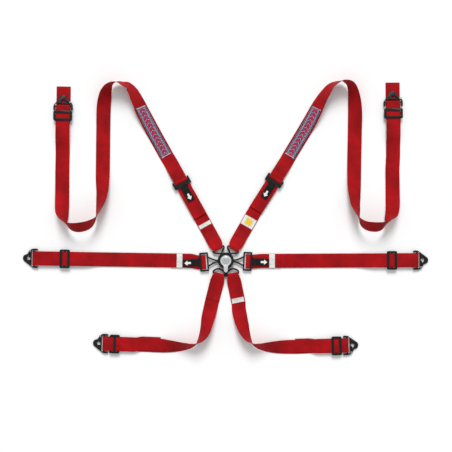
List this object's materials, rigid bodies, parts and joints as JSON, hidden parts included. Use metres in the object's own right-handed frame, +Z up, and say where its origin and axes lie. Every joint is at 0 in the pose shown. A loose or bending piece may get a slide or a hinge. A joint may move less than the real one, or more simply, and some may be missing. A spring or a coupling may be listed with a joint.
{
  "type": "racing harness",
  "caption": "Racing harness of wide red webbing: shoulder, lap and crotch straps joined at a rotary cam buckle, with tilt adjusters, sliders and clip-in end brackets",
  "frame": {"origin": "centre of the flat back face of the buckle, which lies on the ground the harness is laid out on", "axes": "+X along the lap straps to the right lap bracket, +Y towards the shoulder straps, +Z up, out of the front of the buckle"},
  "size_m": [1.4378, 0.9719, 0.0667],
  "materials": {
    "red_webbing": "woven polyester webbing, matte red",
    "black_webbing": "woven polyester tape, matte black",
    "woven_patch": "woven cloth patch, navy",
    "black_steel": "black coated steel, satin",
    "black_alloy": "black coated alloy, satin",
    "silver_alloy": "satin anodised alloy",
    "bright_steel": "zinc plated steel"
  },
  "bodies": {
    "buckle": {"buckle_back_plate": "black_steel", "buckle_housing": "black_alloy", "buckle_cover": "black_alloy", "back_screw_1": "bright_steel", "back_screw_2": "bright_steel", "back_screw_3": "bright_steel", "return_spring": "bright_steel"},
    "handle": {"release_handle": "silver_alloy", "cam_rotor": "bright_steel", "centre_screw": "bright_steel"},
    "pin_lap_right": {"lock_pin_lap_right": "bright_steel"},
    "pin_shoulder_right": {"lock_pin_shoulder_right": "bright_steel"},
    "pin_shoulder_left": {"lock_pin_shoulder_left": "bright_steel"},
    "pin_lap_left": {"lock_pin_lap_left": "bright_steel"},
    "pin_crotch": {"lock_pin_crotch": "bright_steel"},
    "lap_tongue_right": {"lap_tongue_right": "black_steel", "lap_strap_right": "red_webbing"},
    "lap_tongue_left": {"lap_tongue_left": "black_steel", "lap_strap_left": "red_webbing"},
    "shoulder_tongue_right": {"shoulder_tongue_right": "black_steel"},
    "shoulder_tongue_left": {"shoulder_tongue_left": "black_steel"},
    "crotch_yoke": {"crotch_yoke": "black_steel"},
    "lap_grip_bar_left": {"lap_grip_bar_left": "bright_steel"},
    "pull_tab_lap_left": {"pull_tab_lap_left": "black_webbing"},
    "lower_strap_left": {"shoulder_strap_lower_left": "red_webbing"},
    "adjuster_left": {"shoulder_adjuster_left": "black_steel", "shoulder_grip_bar_left": "bright_steel"},
    "pull_tab_shoulder_left": {"pull_tab_shoulder_left": "black_webbing"},
    "upper_strap_left": {"shoulder_strap_upper_left": "red_webbing", "shoulder_patch_left": "woven_patch"},
    "crotch_strap_left": {"crotch_strap_left": "red_webbing"},
    "bracket_lap_left": {"end_bracket_lap_left": "black_steel"},
    "gate_lap_left": {"bracket_gate_lap_left": "black_steel"},
    "slider_lap_left": {"slider_lap_left": "black_steel"},
    "bracket_shoulder_left": {"end_bracket_shoulder_left": "black_steel"},
    "gate_shoulder_left": {"bracket_gate_shoulder_left": "black_steel"},
    "slider_shoulder_left": {"slider_shoulder_left": "black_steel"},
    "bracket_crotch_left": {"end_bracket_crotch_left": "black_steel"},
    "gate_crotch_left": {"bracket_gate_crotch_left": "black_steel"},
    "slider_crotch_left": {"slider_crotch_left": "black_steel"},
    "lap_grip_bar_right": {"lap_grip_bar_right": "bright_steel"},
    "pull_tab_lap_right": {"pull_tab_lap_right": "black_webbing"},
    "lower_strap_right": {"shoulder_strap_lower_right": "red_webbing"},
    "adjuster_right": {"shoulder_adjuster_right": "black_steel", "shoulder_grip_bar_right": "bright_steel"},
    "pull_tab_shoulder_right": {"pull_tab_shoulder_right": "black_webbing"},
    "upper_strap_right": {"shoulder_strap_upper_right": "red_webbing", "shoulder_patch_right": "woven_patch"},
    "crotch_strap_right": {"crotch_strap_right": "red_webbing"},
    "bracket_lap_right": {"end_bracket_lap_right": "black_steel"},
    "gate_lap_right": {"bracket_gate_lap_right": "black_steel"},
    "slider_lap_right": {"slider_lap_right": "black_steel"},
    "bracket_shoulder_right": {"end_bracket_shoulder_right": "black_steel"},
    "gate_shoulder_right": {"bracket_gate_shoulder_right": "black_steel"},
    "slider_shoulder_right": {"slider_shoulder_right": "black_steel"},
    "bracket_crotch_right": {"end_bracket_crotch_right": "black_steel"},
    "gate_crotch_right": {"bracket_gate_crotch_right": "black_steel"},
    "slider_crotch_right": {"slider_crotch_right": "black_steel"}
  },
  "joints": [
    {"name": "handle_turn", "type": "hinge", "parent": "buckle", "child": "handle", "pos_m": [0, 0, 0.0215], "axis": [0, 0, 1], "range_deg": [0, 90], "stiffness_Nm_per_rad": 0.05},
    {"name": "pin_lap_right_lift", "type": "slide", "parent": "buckle", "child": "pin_lap_right", "axis": [0, 0, 1], "range_m": [0, 0.0042]},
    {"name": "pin_shoulder_right_lift", "type": "slide", "parent": "buckle", "child": "pin_shoulder_right", "axis": [0, 0, 1], "range_m": [0, 0.0042]},
    {"name": "pin_shoulder_left_lift", "type": "slide", "parent": "buckle", "child": "pin_shoulder_left", "axis": [0, 0, 1], "range_m": [0, 0.0042]},
    {"name": "pin_lap_left_lift", "type": "slide", "parent": "buckle", "child": "pin_lap_left", "axis": [0, 0, 1], "range_m": [0, 0.0042]},
    {"name": "pin_crotch_lift", "type": "slide", "parent": "buckle", "child": "pin_crotch", "axis": [0, 0, 1], "range_m": [0, 0.0042]},
    {"name": "lap_tongue_right_swivel", "type": "hinge", "parent": "buckle", "child": "lap_tongue_right", "pos_m": [0.01848, -0.00081, 0.0075], "axis": [0, 0, 1], "range_deg": [-3, 3]},
    {"name": "lap_tongue_left_swivel", "type": "hinge", "parent": "buckle", "child": "lap_tongue_left", "pos_m": [-0.01845, -0.00129, 0.0075], "axis": [0, 0, 1], "range_deg": [-3, 3]},
    {"name": "shoulder_tongue_right_swivel", "type": "hinge", "parent": "buckle", "child": "shoulder_tongue_right", "pos_m": [0.01008, 0.01551, 0.0075], "axis": [0, 0, 1], "range_deg": [-3, 3]},
    {"name": "shoulder_tongue_left_swivel", "type": "hinge", "parent": "buckle", "child": "shoulder_tongue_left", "pos_m": [-0.01008, 0.01551, 0.0075], "axis": [0, 0, 1], "range_deg": [-3, 3]},
    {"name": "crotch_yoke_swivel", "type": "hinge", "parent": "buckle", "child": "crotch_yoke", "pos_m": [0, -0.0185, 0.0075], "axis": [0, 0, 1], "range_deg": [-3, 3]},
    {"name": "lap_grip_bar_left_slide", "type": "slide", "parent": "lap_tongue_left", "child": "lap_grip_bar_left", "axis": [0.9976, 0.0698, 0], "range_m": [0, 0.001]},
    {"name": "pull_tab_lap_left_lift", "type": "hinge", "parent": "lap_tongue_left", "child": "pull_tab_lap_left", "pos_m": [-0.09567, -0.00669, 0.0075], "axis": [-0.0698, 0.9976, 0], "range_deg": [0, 90]},
    {"name": "lower_strap_left_pivot", "type": "hinge", "parent": "shoulder_tongue_left", "child": "lower_strap_left", "pos_m": [-0.02663, 0.04101, 0.0075], "axis": [0.875, 0.484, 0], "range_deg": [0, 75]},
    {"name": "adjuster_left_tilt", "type": "hinge", "parent": "lower_strap_left", "child": "adjuster_left", "pos_m": [-0.15587, 0.27465, 0.00335], "axis": [-0.875, -0.484, 0], "range_deg": [0, 12]},
    {"name": "pull_tab_shoulder_left_lift", "type": "hinge", "parent": "adjuster_left", "child": "pull_tab_shoulder_left", "pos_m": [-0.14803, 0.26047, 0.01095], "axis": [-0.875, -0.484, 0], "range_deg": [0, 90]},
    {"name": "upper_strap_left_slide", "type": "slide", "parent": "lower_strap_left", "child": "upper_strap_left", "axis": [-0.484, 0.875, 0], "range_m": [-0.03, 0.03]},
    {"name": "crotch_strap_left_pivot", "type": "hinge", "parent": "crotch_yoke", "child": "crotch_strap_left", "pos_m": [-0.024, -0.048, 0.0075], "axis": [-0.9694, 0.2453, 0], "range_deg": [0, 55]},
    {"name": "bracket_lap_left_swing", "type": "hinge", "parent": "lap_tongue_left", "child": "bracket_lap_left", "pos_m": [-0.67991, 0.00767, 0.00555], "axis": [0.0166, 0.9999, 0], "range_deg": [-100, 100]},
    {"name": "gate_lap_left_turn", "type": "hinge", "parent": "bracket_lap_left", "child": "gate_lap_left", "pos_m": [-0.69282, 0.03289, 0.00625], "axis": [-0.0976, 0.0016, 0.9952], "range_deg": [0, 30], "stiffness_Nm_per_rad": 0.02},
    {"name": "slider_lap_left_slide", "type": "slide", "parent": "lap_tongue_left", "child": "slider_lap_left", "axis": [0.9999, -0.0166, 0], "range_m": [-0.03, 0.03]},
    {"name": "bracket_shoulder_left_swing", "type": "hinge", "parent": "upper_strap_left", "child": "bracket_shoulder_left", "pos_m": [-0.5763, 0.546, 0.0072], "axis": [0.9999, -0.0157, 0], "range_deg": [0, 100]},
    {"name": "gate_shoulder_left_turn", "type": "hinge", "parent": "bracket_shoulder_left", "child": "gate_shoulder_left", "pos_m": [-0.55109, 0.55894, 0.0079], "axis": [0.0015, 0.0976, 0.9952], "range_deg": [0, 30], "stiffness_Nm_per_rad": 0.02},
    {"name": "slider_shoulder_left_slide", "type": "slide", "parent": "upper_strap_left", "child": "slider_shoulder_left", "axis": [-0.0157, -0.9999, 0], "range_m": [0, 0.03]},
    {"name": "bracket_crotch_left_swing", "type": "hinge", "parent": "crotch_strap_left", "child": "bracket_crotch_left", "pos_m": [-0.4315, -0.2943, 0.00555], "axis": [0.0349, 0.9994, 0], "range_deg": [-100, 100]},
    {"name": "gate_crotch_left_turn", "type": "hinge", "parent": "bracket_crotch_left", "child": "gate_crotch_left", "pos_m": [-0.44395, -0.26885, 0.00625], "axis": [-0.0975, 0.0034, 0.9952], "range_deg": [0, 30], "stiffness_Nm_per_rad": 0.02},
    {"name": "slider_crotch_left_slide", "type": "slide", "parent": "crotch_strap_left", "child": "slider_crotch_left", "axis": [0.9994, -0.0349, 0], "range_m": [0, 0.03]},
    {"name": "lap_grip_bar_right_slide", "type": "slide", "parent": "lap_tongue_right", "child": "lap_grip_bar_right", "axis": [-0.999, 0.0436, 0], "range_m": [0, 0.001]},
    {"name": "pull_tab_lap_right_lift", "type": "hinge", "parent": "lap_tongue_right", "child": "pull_tab_lap_right", "pos_m": [0.09581, -0.00418, 0.0075], "axis": [-0.0436, -0.999, 0], "range_deg": [0, 90]},
    {"name": "lower_strap_right_pivot", "type": "hinge", "parent": "shoulder_tongue_right", "child": "lower_strap_right", "pos_m": [0.02663, 0.04101, 0.0075], "axis": [0.8669, -0.4985, 0], "range_deg": [0, 75]},
    {"name": "adjuster_right_tilt", "type": "hinge", "parent": "lower_strap_right", "child": "adjuster_right", "pos_m": [0.17158, 0.28284, 0.00335], "axis": [-0.8443, 0.5358, 0], "range_deg": [0, 12]},
    {"name": "pull_tab_shoulder_right_lift", "type": "hinge", "parent": "adjuster_right", "child": "pull_tab_shoulder_right", "pos_m": [0.1629, 0.26916, 0.01095], "axis": [-0.8443, 0.5358, 0], "range_deg": [0, 90]},
    {"name": "upper_strap_right_slide", "type": "slide", "parent": "lower_strap_right", "child": "upper_strap_right", "axis": [0.5358, 0.8443, 0], "range_m": [-0.03, 0.03]},
    {"name": "crotch_strap_right_pivot", "type": "hinge", "parent": "crotch_yoke", "child": "crotch_strap_right", "pos_m": [0.024, -0.048, 0.0075], "axis": [-0.9799, -0.1994, 0], "range_deg": [0, 55]},
    {"name": "bracket_lap_right_swing", "type": "hinge", "parent": "lap_tongue_right", "child": "bracket_lap_right", "pos_m": [0.67799, 0.00095, 0.00555], "axis": [0.0052, -1, 0], "range_deg": [-100, 100]},
    {"name": "gate_lap_right_turn", "type": "hinge", "parent": "bracket_lap_right", "child": "gate_lap_right", "pos_m": [0.69145, -0.02398, 0.00625], "axis": [0.0976, 0.0005, 0.9952], "range_deg": [0, 30], "stiffness_Nm_per_rad": 0.02},
    {"name": "slider_lap_right_slide", "type": "slide", "parent": "lap_tongue_right", "child": "slider_lap_right", "axis": [-1, -0.0052, 0], "range_m": [-0.03, 0.03]},
    {"name": "bracket_shoulder_right_swing", "type": "hinge", "parent": "upper_strap_right", "child": "bracket_shoulder_right", "pos_m": [0.5924, 0.56, 0.0072], "axis": [1, 0.007, 0], "range_deg": [0, 100]},
    {"name": "gate_shoulder_right_turn", "type": "hinge", "parent": "bracket_shoulder_right", "child": "gate_shoulder_right", "pos_m": [0.61731, 0.57351, 0.0079], "axis": [-0.0007, 0.0976, 0.9952], "range_deg": [0, 30], "stiffness_Nm_per_rad": 0.02},
    {"name": "slider_shoulder_right_slide", "type": "slide", "parent": "upper_strap_right", "child": "slider_shoulder_right", "axis": [0.007, -1, 0], "range_m": [0, 0.03]},
    {"name": "bracket_crotch_right_swing", "type": "hinge", "parent": "crotch_strap_right", "child": "bracket_crotch_right", "pos_m": [0.43, -0.301, 0.00555], "axis": [0.0262, -0.9997, 0], "range_deg": [-100, 100]},
    {"name": "gate_crotch_right_turn", "type": "hinge", "parent": "bracket_crotch_right", "child": "gate_crotch_right", "pos_m": [0.44398, -0.32564, 0.00625], "axis": [0.0975, 0.0026, 0.9952], "range_deg": [0, 30], "stiffness_Nm_per_rad": 0.02},
    {"name": "slider_crotch_right_slide", "type": "slide", "parent": "crotch_strap_right", "child": "slider_crotch_right", "axis": [-0.9997, -0.0262, 0], "range_m": [0, 0.03]}
  ],
  "couplings": [
    {"joint": "pin_lap_right_lift", "follows": "handle_turn", "m_per_rad": 0.0026},
    {"joint": "pin_shoulder_right_lift", "follows": "handle_turn", "m_per_rad": 0.0026},
    {"joint": "pin_shoulder_left_lift", "follows": "handle_turn", "m_per_rad": 0.0026},
    {"joint": "pin_lap_left_lift", "follows": "handle_turn", "m_per_rad": 0.0026},
    {"joint": "pin_crotch_lift", "follows": "handle_turn", "m_per_rad": 0.0026}
  ]
}
